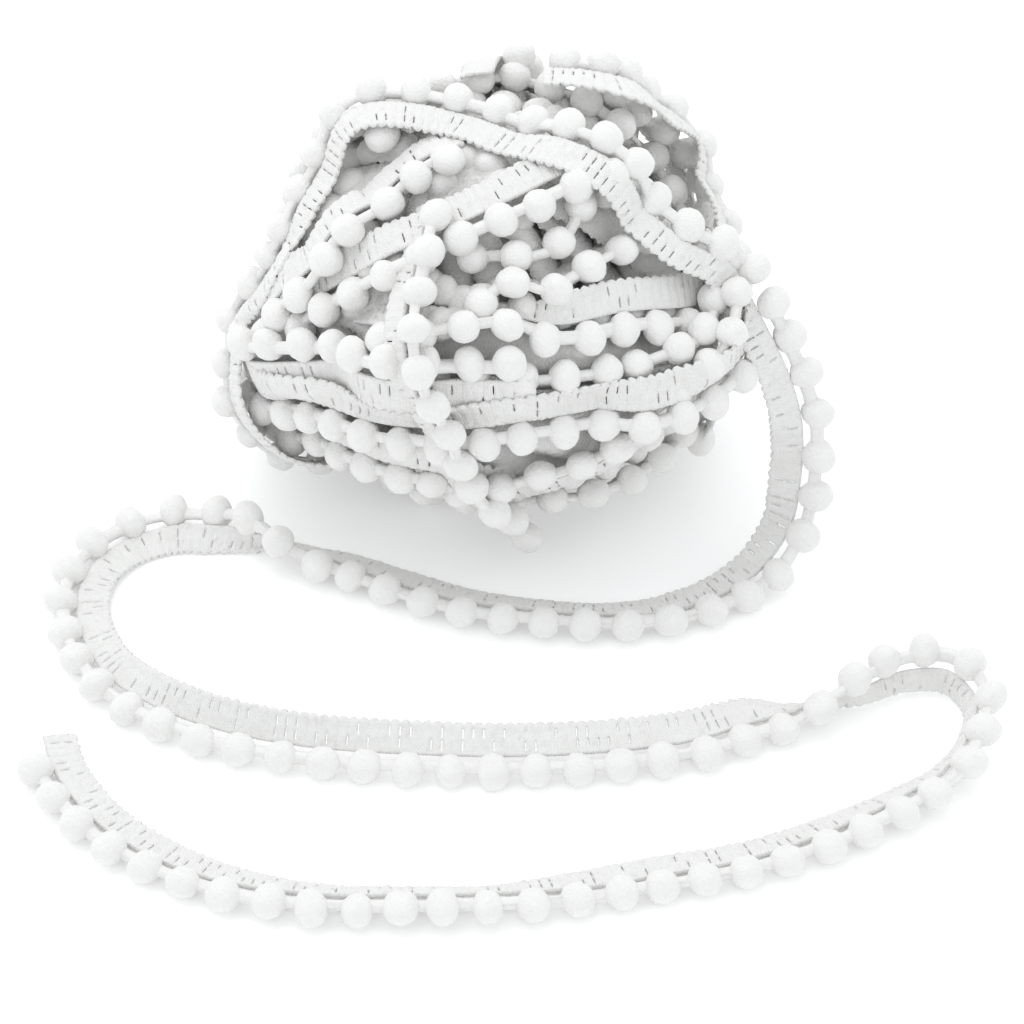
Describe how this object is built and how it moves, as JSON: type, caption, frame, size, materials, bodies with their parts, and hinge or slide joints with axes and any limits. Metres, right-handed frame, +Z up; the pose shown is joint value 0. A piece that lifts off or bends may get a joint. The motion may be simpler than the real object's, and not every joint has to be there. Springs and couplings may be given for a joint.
{
  "type": "pompom fringe trim",
  "caption": "White pompom fringe trim: a knitted heading tape with round pompoms along one edge, wound into a loose ball, its free end laid out in an S.",
  "frame": {"origin": "middle of the ball's flat resting spot, on the surface that the trim lies on", "axes": "+Z up from the surface; -Y from the ball towards the loose end laid out in front of it; +X along the loose end's runs, to the side where it leaves the ball"},
  "size_m": [0.318, 0.3161, 0.1467],
  "materials": {
    "knit_tape": "white open warp-knit tape with crosswise ribs, slightly glossy filament yarn",
    "pompom_yarn": "white brushed pompom yarn with a fine matte fuzz"
  },
  "bodies": {
    "root": {"wound_ball": "pompom_yarn", "loose_heading": "knit_tape", "pompom_fringe": "pompom_yarn"}
  },
  "joints": []
}
